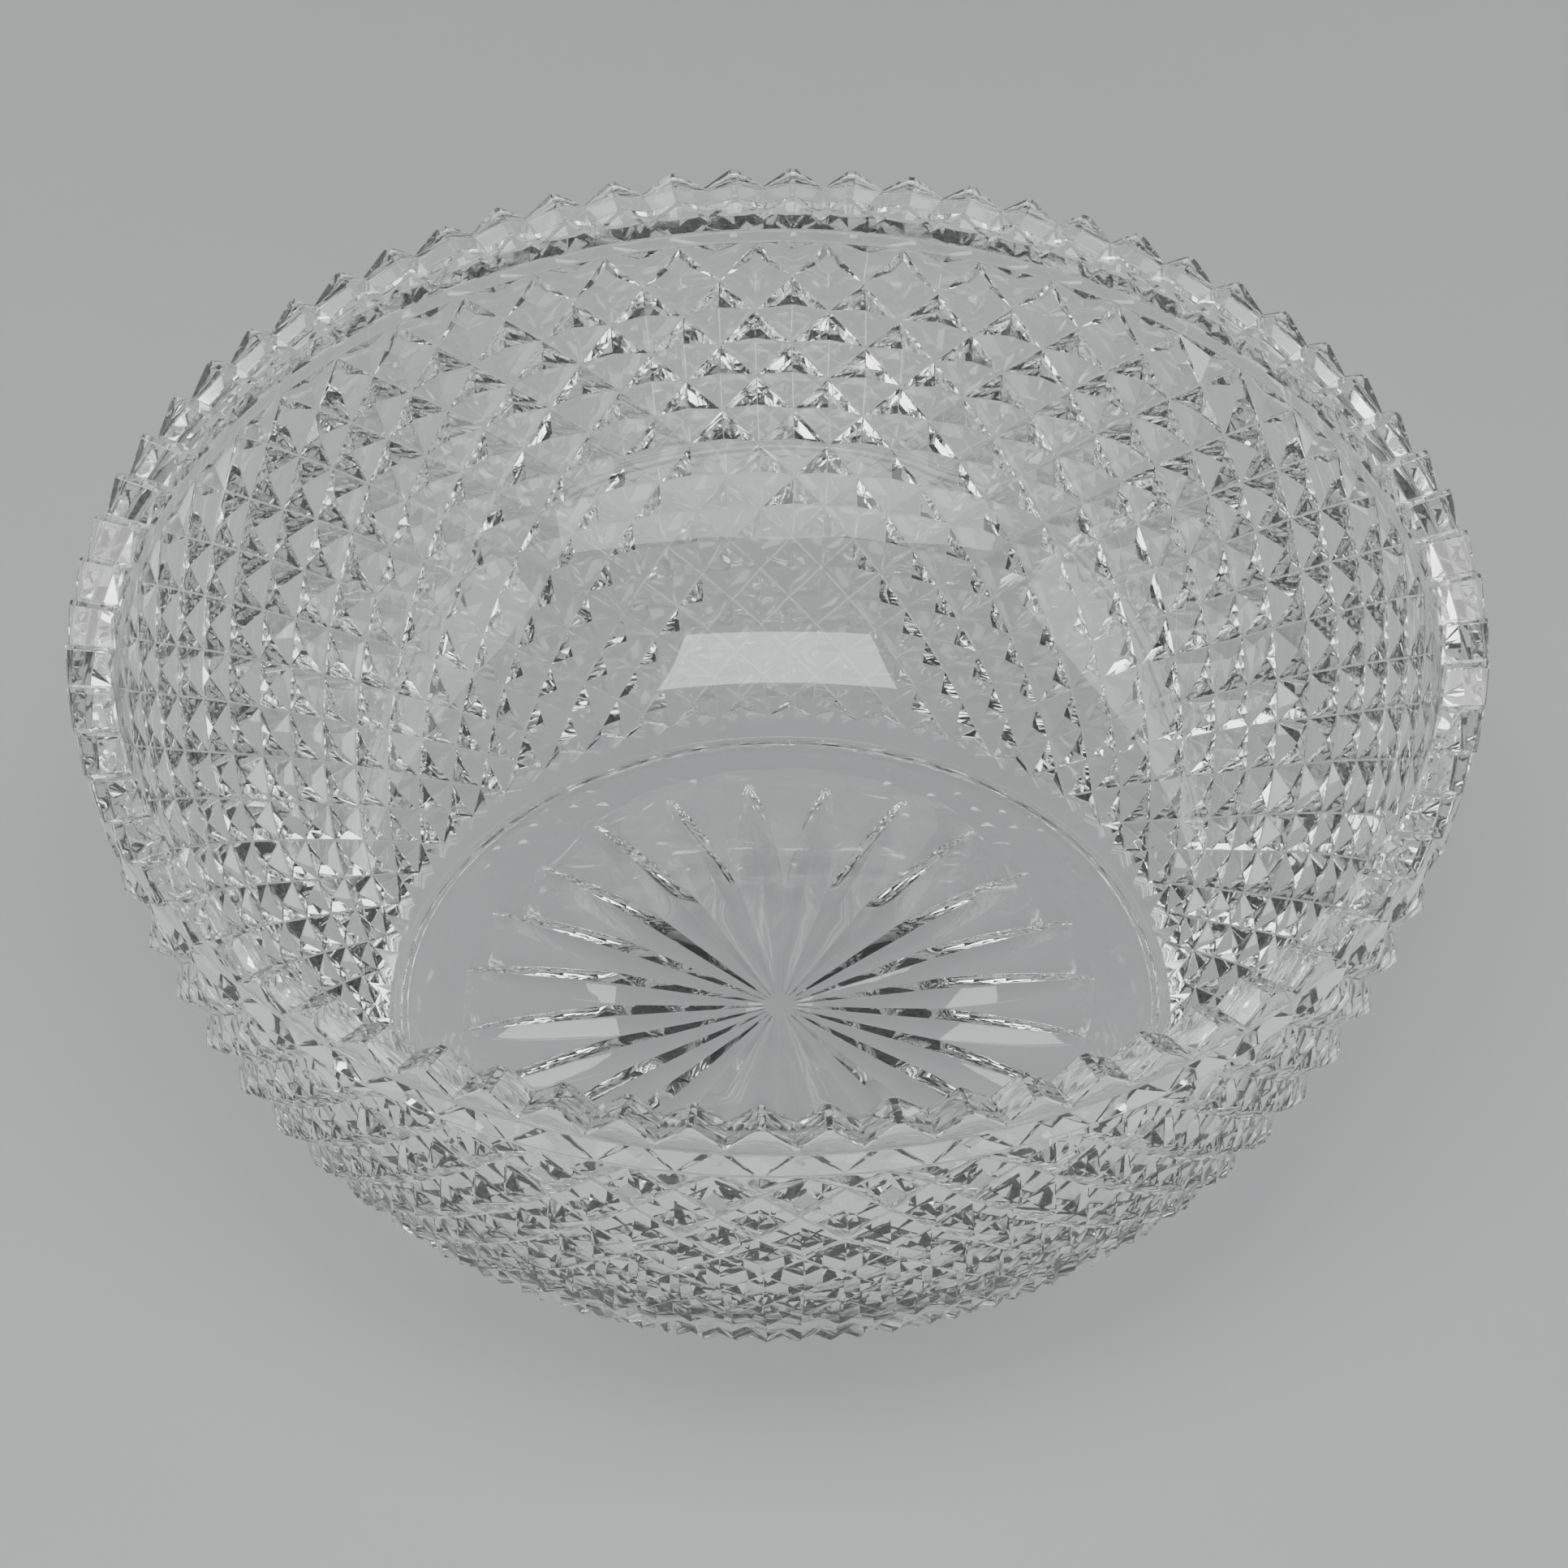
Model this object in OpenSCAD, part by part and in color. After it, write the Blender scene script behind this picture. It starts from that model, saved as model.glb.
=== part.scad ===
// A round cut glass punch bowl in one piece, resting on its own flat ring.
// Millimetres, +Z up. The origin is the centre of the ring it stands on.

/* [Bowl] */
// Diameter over the tips of the rim teeth
rim_diameter = 300; // [280:1:360]
// Height from the table to the tips of the rim teeth
bowl_height = 129; // [104:1:160]
// Diameter of the ring it stands on
base_diameter = 180.8; // [150:0.1:186]
// Width of the flat ring it stands on
land_width = 1.8; // [1.2:0.1:3]
// How far the cut base lies above the table
base_recess = 2; // [0.8:0.1:2.5]
// Width of the slope from the standing ring up to the cut base
recess_slope = 2.2; // [1:0.1:4]
// Turn of all the cutting about the axis, in degrees
cut_turn = 43.5; // [0:0.5:90]

/* [Wall] */
// Glass thickness at the rim
rim_thickness = 9.7; // [8.1:0.1:13]
// Glass thickness under the floor
floor_thickness = 15.5; // [10:0.1:18]
// How far the corner of the floor lies inside the standing ring
floor_inset = 4.6; // [3:0.1:12]
// How far up the wall the rounding of the floor reaches
floor_round = 22; // [12:1:30]
// How far the top of the wall flares outward inside the teeth
mouth_flare = 0.4; // [0.1:0.1:3]

/* [Rim teeth] */
// Number of teeth round the rim
tooth_count = 68; // [60:1:76]
// Height of a tooth at the outside
tooth_depth = 5.4; // [4:0.1:6.5]
// Width of the blunt tip of a tooth
tooth_flat = 1.5; // [0.6:0.1:2.4]
// Height of the point on the axis that every tooth line aims at
tooth_aim = 100; // [85:1:110]

/* [Ring cuts] */
// Height of the plain strip between the teeth and the upper ring cut
lip_height = 2.1; // [1:0.1:4]
// Distance from one ring cut to the next
ring_spacing = 7.1; // [6:0.1:9]
// Height of the steep upper flank of a ring cut
flank_height = 2.2; // [1.2:0.1:3]
// Height of the plain flank from the lower ring cut down to the wall
last_flank = 2.8; // [2.6:0.1:5]
// How far the cuts between the diamonds run up that flank
cut_run = 2.3; // [0.4:0.1:2.5]
// Depth of a ring cut, from the rim inward
ring_depth = 3; // [2:0.1:4]
// How much further in the lower ring cut lies
ring_step = 0.6; // [0:0.1:1.2]

/* [Diamonds] */
// Number of diamonds round the bowl
diamond_count = 52; // [44:1:60]
// Number of half rows of diamonds from top to bottom, an even number
diamond_rows = 16; // [12:2:20]
// Depth of the cuts between the diamonds at the widest part
diamond_depth = 3.9; // [2.5:0.1:4.6]
// How far the crests of the diamonds lie inside the tips of the teeth
wall_inset = 1.9; // [0.5:0.1:3]
// How far below the rim the wall is widest
widest_drop = 6.4; // [4:0.1:10]
// Height of the plain band under the diamonds
band_height = 6.7; // [4:0.1:10]
// How far the cuts between the diamonds run down into the plain band
cut_tail = 1.8; // [0.4:0.1:2.6]
// How far the plain band leans out from the standing ring
band_lean = 5.8; // [4:0.1:8]

/* [Star] */
// Number of rays of the star cut under the base
ray_count = 24; // [16:2:28]
// Radius of the star
star_radius = 73; // [60:1:78]
// Widest part of a ray
ray_width = 9.6; // [6:0.1:11]
// Depth of a ray for each unit of its half width
ray_steepness = 0.6; // [0.4:0.05:0.9]
// Depth of the star at its centre
star_eye = 0.8; // [0.4:0.1:1.5]

/* [Hidden] */
$fa = 4;
$fs = 1;
glass = [0.80, 0.88, 0.86, 0.55];
rim_r = rim_diameter / 2;
base_r = base_diameter / 2;

// Outer outline, from the rim down to the standing ring.
lip_z = bowl_height - tooth_depth - lip_height;
ring1_z = lip_z - flank_height;
crest_z = ring1_z - (ring_spacing - flank_height);
ring2_z = crest_z - flank_height;
foot_z = ring2_z - last_flank;
run_z = foot_z + cut_run;
lip_r = rim_r - 0.5;
ring1_r = rim_r - ring_depth;
crest_r = rim_r - ring_depth / 2;
ring2_r = ring1_r - ring_step;

// The crests of the diamonds lie on an ellipse, and its cuts are helices of one angle,
// so their crossings lie at equal steps of the mercator height.
wall_r = rim_r - wall_inset;
wall_z = bowl_height - widest_drop;
band_r = base_r + band_lean;
wall_drop = (wall_z - band_height) / sqrt(1 - pow(band_r / wall_r, 2));
function mercator(z) = ln((1 + (wall_z - z) / wall_drop) / (1 - (wall_z - z) / wall_drop)) / 2;
function girth(m) = 2 / (exp(m) + exp(-m));
function sink(m) = (exp(m) - exp(-m)) / (exp(m) + exp(-m));
// Radius and height of a point that deep under the outline, square to it.
function under(m, depth) =
    let (lean = wall_r * (exp(m) - exp(-m)) / 2, slant = norm([wall_drop, lean]))
    [wall_r * girth(m) - depth * wall_drop / slant,
        wall_z - wall_drop * sink(m) + depth * lean / slant];
top_m = mercator(run_z);
tail_z = band_height - cut_tail;
row_m = (mercator(tail_z) - top_m) / diamond_rows;
foot_r = wall_r * sqrt(1 - pow((wall_z - foot_z) / wall_drop, 2));
run_r = foot_r + (ring2_r - foot_r) * cut_run / last_flank;
tail_r = base_r + band_lean * tail_z / band_height;

// Inner outline: an ellipse like the outer one, rounded into a flat floor.
mouth_r = rim_r - rim_thickness;
floor_r = base_r - floor_inset;
inner_drop = (wall_z - floor_thickness) / sqrt(1 - pow(floor_r / mouth_r, 2));
function inner_at(z) = mouth_r * sqrt(1 - pow((wall_z - z) / inner_drop, 2));
round_z = floor_thickness + floor_round;
round_r = inner_at(round_z);
corner_r = round_r - floor_round * (wall_z - round_z) * pow(mouth_r / inner_drop, 2) / round_r;
flat_r = corner_r - norm([round_r - corner_r, floor_round]);
function rounding(t) = pow(1 - t, 2) * [flat_r, floor_thickness]
    + 2 * t * (1 - t) * [corner_r, floor_thickness] + t * t * [round_r, round_z];

// Corner lists. Every ring of corners is listed anticlockwise seen from above.
sides = 2 * diamond_count;
function on(r, turn, z) = [r * cos(turn + cut_turn), r * sin(turn + cut_turn), z];
function ring(r, z, n) = [for (i = [0:n - 1]) on(r, i * 360 / n, z)];

// One row of the diamond field: crests and cut crossings by turns. In the first and last
// rows the crests lie at the end of the wall, and the cuts run out on the flank beyond it.
function end_row(end, run) = [for (i = [0:sides - 1]) let (p = i % 2 == 1 ? end : run)
    on(p[0], i * 360 / sides, p[1])];
function row(k) = [for (i = [0:sides - 1])
    let (m = top_m + k * row_m, p = under(m, (i + k) % 2 == 1 ? 0 : diamond_depth * girth(m)))
    on(p[0], i * 360 / sides, p[1])];

// The zigzag edge: a valley and the two corners of a blunt tip for each tooth.
tip_turn = asin(tooth_flat / 2 / rim_r);
function zigzag() = [for (i = [0:tooth_count - 1], s = [0, 1, 2])
    on(rim_r, (s == 0 ? i : i + 0.5) * 360 / tooth_count + [0, -1, 1][s] * tip_turn,
        bowl_height - (s == 0 ? tooth_depth : 0))];

// The star. Inside merge_r the rays share their edges. Outside it each is a leaf, with
// stations from the shared edge to the tip that have a left edge, a keel and a right edge.
merge_r = ray_width / 2 / sin(180 / ray_count);
stations = [0.9, 0.7, 0.45, 0.2];
function ray_half(f) = ray_width / 2 * pow(1 - f * f, 0.6);
function ray(i) =
    let (turn = (i + 0.5) * 360 / ray_count)
    concat(
        [on(star_radius, turn, base_recess)],
        [for (f = stations, s = [-1, 0, 1])
            let (r = merge_r + f * (star_radius - merge_r), half = ray_half(f))
            on(r, turn + s * asin(half / r), base_recess + (s == 0 ? half * ray_steepness : 0))],
        [on(merge_r, turn, base_recess + ray_half(0) * ray_steepness),
            on(merge_r, turn + 180 / ray_count, base_recess)]);

// Triangle lists between corners, counted from the start of each ring.
// A band joins a lower ring of n corners to an upper one of the same number.
function band(low, up, n) = [for (i = [0:n - 1]) let (j = (i + 1) % n)
    each [[low + i, up + i, up + j], [low + i, up + j, low + j]]];

// A fringe joins a lower ring of a corners to an upper one of b corners, b less than a.
function nearest(i, a, b) = floor(a * (i + 0.5) / b + 0.5);
function fringe(low, a, up, b) = [for (i = [0:b - 1]) each concat(
    [[low + nearest(i, a, b) % a, up + i, up + (i + 1) % b]],
    [for (j = [nearest(i - 1, a, b):nearest(i, a, b) - 1])
        [low + (j + a) % a, up + i, low + (j + 1 + a) % a]])];

// The four flanks of every diamond, or two on the first and the last row.
function flanks(at) = [for (k = [0:diamond_rows], i = [0:sides - 1]) if ((i + k) % 2 == 1)
    let (crest = at + k * sides + i, left = at + k * sides + (i + sides - 1) % sides,
        right = at + k * sides + (i + 1) % sides)
    each concat(
        k > 0 ? [[crest, crest - sides, right], [crest, left, crest - sides]] : [],
        k < diamond_rows ? [[crest, right, crest + sides], [crest, crest + sides, left]] : [])];

// The outer face of every tooth, above the corner of the lip under its valley.
function tooth_faces(lip, zig) = [for (i = [0:tooth_count - 1])
    let (next = (i + 1) % tooth_count, v = zig + 3 * i, w = zig + 3 * next)
    each [[lip + i, v, v + 1], [lip + i, v + 1, v + 2], [lip + i, v + 2, lip + next],
        [lip + next, v + 2, w]]];

// The star, ray by ray, with the flat ground up to the next ray.
ray_size = 3 * len(stations) + 3;
function star_faces(at, eye) = [for (i = [0:ray_count - 1])
    let (a = at + i * ray_size, b = at + (i + 1) % ray_count * ray_size,
        last = 3 * len(stations), keel = last + 1, fork = last + 2,
        z = at + (i + ray_count - 1) % ray_count * ray_size)
    each concat(
        [[a, a + 2, a + 1], [a, a + 3, a + 2], [a, b, b + 1], [a, b + 1, a + 3]],
        [for (s = [1:3:last - 3]) each [
            [a + s, a + s + 4, a + s + 3], [a + s, a + s + 1, a + s + 4],
            [a + s + 1, a + s + 5, a + s + 4], [a + s + 1, a + s + 2, a + s + 5],
            [a + s + 2, b + s + 3, a + s + 5], [a + s + 2, b + s, b + s + 3]]],
        [[a + last - 2, a + keel, z + fork], [a + last - 2, a + last - 1, a + keel],
            [a + last - 1, a + fork, a + keel], [a + last - 1, a + last, a + fork],
            [a + last, b + last - 2, a + fork],
            [a + keel, eye, z + fork], [a + keel, a + fork, eye]])];

// The whole outside as one closed skin, solid inside.
module skin() {
    field = concat(
        end_row([foot_r, foot_z], [run_r, run_z]),
        [for (k = [1:diamond_rows - 1]) each row(k)],
        end_row([band_r, band_height], [tail_r, tail_z]));
    zig = zigzag();
    rays = [for (i = [0:ray_count - 1]) each ray(i)];
    rings = concat(
        ring(base_r - land_width - recess_slope, base_recess, sides),
        ring(base_r - land_width, 0, sides), ring(base_r, 0, sides),
        ring(ring2_r, ring2_z, sides), ring(crest_r, crest_z, sides),
        ring(ring1_r, ring1_z, sides));
    at_field = len(rings);
    at_lip = at_field + len(field);
    at_zig = at_lip + tooth_count;
    at_aim = at_zig + len(zig);
    at_rays = at_aim + 1;
    at_eye = at_rays + len(rays);
    polyhedron(
        points = concat(rings, field, ring(lip_r, lip_z, tooth_count), zig,
            [[0, 0, tooth_aim]], rays, [[0, 0, base_recess + star_eye]]),
        faces = concat(
            fringe_to_star(at_rays),
            band(0, sides, sides), band(sides, 2 * sides, sides),
            band(2 * sides, at_field + diamond_rows * sides, sides),
            flanks(at_field),
            band(at_field, 3 * sides, sides), band(3 * sides, 4 * sides, sides),
            band(4 * sides, 5 * sides, sides), fringe(5 * sides, sides, at_lip, tooth_count),
            tooth_faces(at_lip, at_zig),
            [for (i = [0:len(zig) - 1]) [at_zig + i, at_aim, at_zig + (i + 1) % len(zig)]],
            star_faces(at_rays, at_eye)));
}

// The flat ground between the sloped ring and the tips of the rays, which lie half a
// step on from the first corner of the ring.
function fringe_to_star(at) = [for (i = [0:ray_count - 1])
    let (from = nearest(i - 0.5, sides, ray_count), to = nearest(i + 0.5, sides, ray_count))
    each concat(
        [[at + i * ray_size, to % sides, at + (i + 1) % ray_count * ray_size]],
        [for (j = [from:to - 1]) [at + i * ray_size, j % sides, (j + 1) % sides]])];

// The smooth inside, open upward.
module hollow() {
    steps = 6;
    rotate_extrude()
        polygon(concat(
            [[0, floor_thickness]],
            [for (i = [0:steps]) rounding(i / steps)],
            [for (i = [1:steps]) let (z = wall_z - (wall_z - round_z) * (1 - i / steps))
                [inner_at(z), z]],
            [[mouth_r + 2 * mouth_flare, wall_z + 2 * widest_drop],
                [0, wall_z + 2 * widest_drop]]));
}

module bowl() {
    color(glass)
        difference() {
            skin();
            hollow();
        }
}

bowl();
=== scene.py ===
"""A round cut glass punch bowl in one piece.

It has a toothed rim, two ring cuts, a wall of raised diamonds, a plain band, and a star of
leaf cuts under the base. The inside is smooth.
"""

import logging
import math
from dataclasses import dataclass, field
from enum import Enum

import bpy
import numpy as np
from mathutils import Euler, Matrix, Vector


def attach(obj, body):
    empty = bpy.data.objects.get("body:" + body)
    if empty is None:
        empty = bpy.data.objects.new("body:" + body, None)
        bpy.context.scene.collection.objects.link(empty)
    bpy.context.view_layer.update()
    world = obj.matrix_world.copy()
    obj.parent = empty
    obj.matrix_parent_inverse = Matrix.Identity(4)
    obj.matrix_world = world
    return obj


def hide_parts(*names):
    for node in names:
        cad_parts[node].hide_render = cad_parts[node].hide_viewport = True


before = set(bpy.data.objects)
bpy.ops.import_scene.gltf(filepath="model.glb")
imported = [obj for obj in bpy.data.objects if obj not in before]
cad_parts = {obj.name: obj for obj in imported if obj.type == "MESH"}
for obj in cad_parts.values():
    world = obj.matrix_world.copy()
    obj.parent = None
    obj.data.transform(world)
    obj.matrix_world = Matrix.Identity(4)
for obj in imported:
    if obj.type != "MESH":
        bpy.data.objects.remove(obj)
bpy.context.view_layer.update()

MM = 0.001
FULL_TURN = 360.0
HALF_TURN = 180.0
CUT_TURN = 43.5

# Where one part of the outline ends and the next begins, in millimetres.
BASE_RADIUS = 90.4
NECK_RADIUS, NECK_HEIGHT = 146.4, 112.2
MOUTH_RADIUS, MOUTH_HEIGHT = 140.3, 122.6

Lengths = np.ndarray | float
Place = tuple[float, float, float]
Colour = tuple[float, float, float, float]

log = logging.getLogger("bowl")


class Finish(Enum):
    """How a face takes the light: shaded round or flat, and with which of the two finishes."""

    TURNED = (True, 0)
    FACET = (False, 0)
    POLISHED = (True, 1)


class Wear(Enum):
    """How much of the full edge rounding an edge of the cutting gets."""

    VALLEY = 0.9
    RIDGE = 0.45
    LEAF = 0.5


def polar(radius: Lengths, turn: Lengths, height: Lengths) -> np.ndarray:
    """Corners from radius, turn and height: x is r cos t, y is r sin t.

    Args:
        radius: distances from the axis, in millimetres.
        turn: turns about the axis in degrees, before the turn of the whole cutting.
        height: heights above the table, in millimetres.

    Returns:
        An array of the common shape with a last side of three.
    """
    radius, turn, height = np.broadcast_arrays(radius, turn, height)
    angle = np.radians(turn + CUT_TURN)
    return np.stack([radius * np.cos(angle), radius * np.sin(angle), height], axis=-1)


def even_turns(count: int) -> np.ndarray:
    """Turns of that many even steps about the axis, from 0."""
    return np.arange(count) * FULL_TURN / count


def next_turns(turns: np.ndarray) -> np.ndarray:
    """The turn that follows each one; the last is followed by the first, a full turn on."""
    return np.append(turns[1:], turns[0] + FULL_TURN)


def mean_around(grid: np.ndarray) -> np.ndarray:
    """The mean of the four neighbours of each place in a grid that closes on itself."""
    sides = [np.roll(grid, step, axis) for axis in (0, 1) for step in (-1, 1)]
    return sum(sides) / len(sides)


def zipped(
    low: np.ndarray, low_turn: np.ndarray, up: np.ndarray, up_turn: np.ndarray
) -> np.ndarray:
    """Triangles of the strip between two closed rings of unlike counts.

    The steps of both rings are sorted by the turn of their middles, and each step makes
    one triangle with the corner that the other ring has reached by then.

    Args:
        low: corner numbers of the first ring, anticlockwise.
        low_turn: their turns in degrees, rising.
        up: corner numbers of the second ring.
        up_turn: their turns in degrees, rising from about the same start.

    Returns:
        Corner numbers, three for each triangle.
    """
    low_middle = (low_turn + next_turns(low_turn)) / 2
    up_middle = (up_turn + next_turns(up_turn)) / 2
    order = np.argsort(np.concatenate([low_middle, up_middle]), kind="stable")
    on_low = order < len(low)
    low_done = np.cumsum(on_low) - on_low
    up_done = np.cumsum(~on_low) - ~on_low
    third = np.where(on_low, low[(low_done + 1) % len(low)], up[(up_done + 1) % len(up)])
    return np.stack([low[low_done % len(low)], third, up[up_done % len(up)]], axis=-1)


def bend(
    start: np.ndarray, control: np.ndarray, end: np.ndarray, share: np.ndarray
) -> np.ndarray:
    """Points of a quadratic curve: (1 - s)^2 start + 2 s (1 - s) control + s^2 end.

    Args:
        start: where the curve starts.
        control: the point towards which both ends aim.
        end: where it ends.
        share: s, from 0 at the start to 1 at the end.

    Returns:
        The points of the curve.
    """
    return (1 - share) ** 2 * start + 2 * share * (1 - share) * control + share**2 * end


def rounded(outline: np.ndarray, radius: float, steps: int = 2) -> np.ndarray:
    """An outline whose inner corners are rounded.

    Each corner becomes a quadratic curve between the points that lie one radius before
    and after it, with a guard point half a radius further out on both sides.

    Args:
        outline: points of radius and height, in order.
        radius: how far from each corner its rounding starts.
        steps: number of steps along each rounding.

    Returns:
        The points of the rounded outline.
    """
    here, back, ahead = outline[1:-1], outline[:-2], outline[2:]
    to_back = (back - here) / np.linalg.norm(back - here, axis=1, keepdims=True)
    to_ahead = (ahead - here) / np.linalg.norm(ahead - here, axis=1, keepdims=True)
    start, end = here + radius * to_back, here + radius * to_ahead
    share = np.linspace(0.0, 1.0, steps + 1)[None, :, None]
    curve = bend(start[:, None], here[:, None], end[:, None], share)
    guard = 1.5 * radius
    before, after = here + guard * to_back, here + guard * to_ahead
    corners = np.concatenate([before[:, None], curve, after[:, None]], axis=1)
    return np.concatenate([outline[:1], corners.reshape(-1, 2), outline[-1:]])


class Skin:
    """The outside of one solid, gathered as corners, faces and marked edges, in millimetres."""

    def __init__(self) -> None:
        """Starts with nothing."""
        self.corners: list[np.ndarray] = []
        self.count = 0
        self.faces: list[tuple[np.ndarray, Finish]] = []
        self.marks: list[tuple[np.ndarray, float]] = []

    def add(self, points: np.ndarray) -> np.ndarray:
        """Adds corners.

        Args:
            points: the corners, in any arrangement.

        Returns:
            Their numbers, in the same arrangement.
        """
        shape = points.shape[:-1]
        numbers = self.count + np.arange(int(np.prod(shape))).reshape(shape)
        self.corners.append(points.reshape(-1, 3))
        self.count += numbers.size
        return numbers

    def face(self, finish: Finish, *corners: np.ndarray) -> None:
        """Adds faces.

        Args:
            finish: how the faces take the light.
            corners: one array for each corner of a face, with its number in every face.
        """
        columns = [corner.ravel() for corner in np.broadcast_arrays(*corners)]
        self.faces.append((np.stack(columns, axis=-1), finish))

    def strip(self, finish: Finish, rings: np.ndarray) -> None:
        """Adds the quads between closed rings that follow each other.

        Args:
            finish: how the faces take the light.
            rings: corner numbers, one row for each ring, anticlockwise seen from above.
        """
        here, ahead = rings[:-1], rings[1:]
        self.face(finish, here, np.roll(here, -1, 1), np.roll(ahead, -1, 1), ahead)

    def mark(self, wear: Wear, start: np.ndarray, end: np.ndarray) -> None:
        """Marks the edges from start to end, corner by corner, for rounding."""
        self.marks.append((np.stack([start.ravel(), end.ravel()], axis=-1), wear.value))

    def piece(self, name: str) -> bpy.types.Object:
        """Makes the mesh and its object, in metres.

        Args:
            name: name of the mesh and of the object.

        Returns:
            The object, in the scene.
        """
        mesh = bpy.data.meshes.new(name)
        corners = np.concatenate(self.corners) * MM
        faces = [face for group, _ in self.faces for face in group.tolist()]
        mesh.from_pydata(corners, [], faces)
        for place, setting in enumerate(("use_smooth", "material_index")):
            values = [np.full(len(group), finish.value[place]) for group, finish in self.faces]
            mesh.polygons.foreach_set(setting, np.concatenate(values))
        self._write_marks(mesh)
        mesh.update()
        piece = bpy.data.objects.new(name, mesh)
        bpy.context.scene.collection.objects.link(piece)
        return piece

    def _write_marks(self, mesh: bpy.types.Mesh) -> None:
        """Writes each marked edge's share of the rounding, found by the edge's two corners.

        Args:
            mesh: the mesh with all its edges.
        """
        pairs = np.empty(2 * len(mesh.edges), dtype=np.int64)
        mesh.edges.foreach_get("vertices", pairs)
        pairs = np.sort(pairs.reshape(-1, 2), axis=1)
        keys = pairs[:, 0] * self.count + pairs[:, 1]
        order = np.argsort(keys)
        shares = np.zeros(len(keys), dtype=np.float32)
        for group, share in self.marks:
            ends = np.sort(group, axis=1)
            wanted = ends[:, 0] * self.count + ends[:, 1]
            shares[order[np.searchsorted(keys[order], wanted)]] = share
        weights = mesh.attributes.new("bevel_weight_edge", "FLOAT", "EDGE")
        weights.data.foreach_set("value", shares)


@dataclass
class StarBase:
    """The recessed underside with its star of leaf cuts, up to the edge of the standing ring."""

    rng: np.random.Generator
    outer_radius: float = BASE_RADIUS
    land_width: float = 1.8
    slope_width: float = 2.2
    recess: float = 2.0
    ground_width: float = 2.0
    band_lean: float = 0.87
    edge_round: float = 0.3
    ring_count: int = 260
    ray_count: int = 24
    star_radius: float = 73.0
    ray_width: float = 9.6
    steepness: float = 0.6
    taper: float = 0.6
    eye_depth: float = 0.8
    turn_drift: float = 0.35
    reach_drift: float = 1.6
    near: tuple[float, ...] = (0.1, 0.22, 0.4, 0.62, 0.82, 1.0)
    far: tuple[float, ...] = (0.12, 0.25, 0.38, 0.5, 0.61, 0.71, 0.8, 0.88, 0.94, 0.98)

    def build(self, skin: Skin) -> tuple[np.ndarray, np.ndarray]:
        """Adds the underside.

        Args:
            skin: the outside that it joins.

        Returns:
            The outer ring's corner numbers and turns.
        """
        tips, tip_turns = self._star(skin)
        land_in = self.outer_radius - self.land_width
        slope_in = land_in - self.slope_width
        outline = rounded(
            np.array([
                [slope_in - self.ground_width, self.recess],
                [slope_in, self.recess],
                [land_in, 0.0],
                [self.outer_radius, 0.0],
                [self.outer_radius + self.band_lean, 1.0],
            ]),
            self.edge_round,
        )
        turns = even_turns(self.ring_count)
        rings = skin.add(polar(outline[:, :1], turns, outline[:, 1:]))
        skin.face(Finish.TURNED, *zipped(tips, tip_turns, rings[0], turns).T)
        skin.strip(Finish.TURNED, rings)
        return rings[-1], turns

    def _star(self, skin: Skin) -> tuple[np.ndarray, np.ndarray]:
        """Adds the star and the ground between its leaves.

        Args:
            skin: the outside that it joins.

        Returns:
            The tips' corner numbers and turns.
        """
        n, step = self.ray_count, FULL_TURN / self.ray_count
        drift = self.rng.uniform(-self.turn_drift, self.turn_drift, n)
        turn = (np.arange(n) + 0.5) * step + drift
        reach = self.star_radius - self.rng.uniform(0.0, self.reach_drift, n)
        merge = self.ray_width / 2 / math.sin(math.radians(step / 2))
        keel, fork = self._eye(skin, turn, merge)
        left, right, tip = self._leaves(skin, turn, reach, merge, keel[-1:], fork[-1:])
        beside = np.roll(left, -1, 1)
        skin.face(Finish.TURNED, right[0], beside[1], right[1])
        skin.face(Finish.TURNED, right[1:-1], beside[1:-1], beside[2:], right[2:])
        skin.face(Finish.TURNED, right[-1], beside[-1], np.roll(tip, -1), tip)
        return tip, turn

    def _eye(
        self, skin: Skin, turn: np.ndarray, merge: float
    ) -> tuple[np.ndarray, np.ndarray]:
        """Adds the middle of the star, where the leaves share their edges.

        The half width of a leaf grows evenly with the radius. The shared edges dip by the
        eye's depth times (1 - s)^2, where s runs from 0 in the middle to 1 where the leaves
        part, and the keel lies deeper by the steepness times the half width.

        Args:
            skin: the outside that it joins.
            turn: turns of the leaves.
            merge: radius at which the leaves part.

        Returns:
            Corner numbers of the keels and of the shared edges, from the middle out.
        """
        share = np.array(self.near)[:, None]
        dip = self.recess + self.eye_depth * (1 - share) ** 2
        half = share * self.ray_width / 2
        fork_turn = (turn + next_turns(turn)) / 2
        keel = skin.add(polar(share * merge, turn, dip + half * self.steepness))
        fork = skin.add(polar(share * merge, fork_turn, dip))
        eye = skin.add(np.array([[0.0, 0.0, self.recess + self.eye_depth]]))
        ahead = np.roll(keel, -1, 1)
        skin.face(Finish.TURNED, eye, fork[0], keel[0])
        skin.face(Finish.TURNED, eye, ahead[0], fork[0])
        skin.face(Finish.TURNED, keel[:-1], fork[:-1], fork[1:], keel[1:])
        skin.face(Finish.TURNED, fork[:-1], ahead[:-1], ahead[1:], fork[1:])
        skin.mark(Wear.LEAF, keel[:-1], keel[1:])
        skin.mark(Wear.LEAF, fork[:-1], fork[1:])
        return keel, fork

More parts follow.
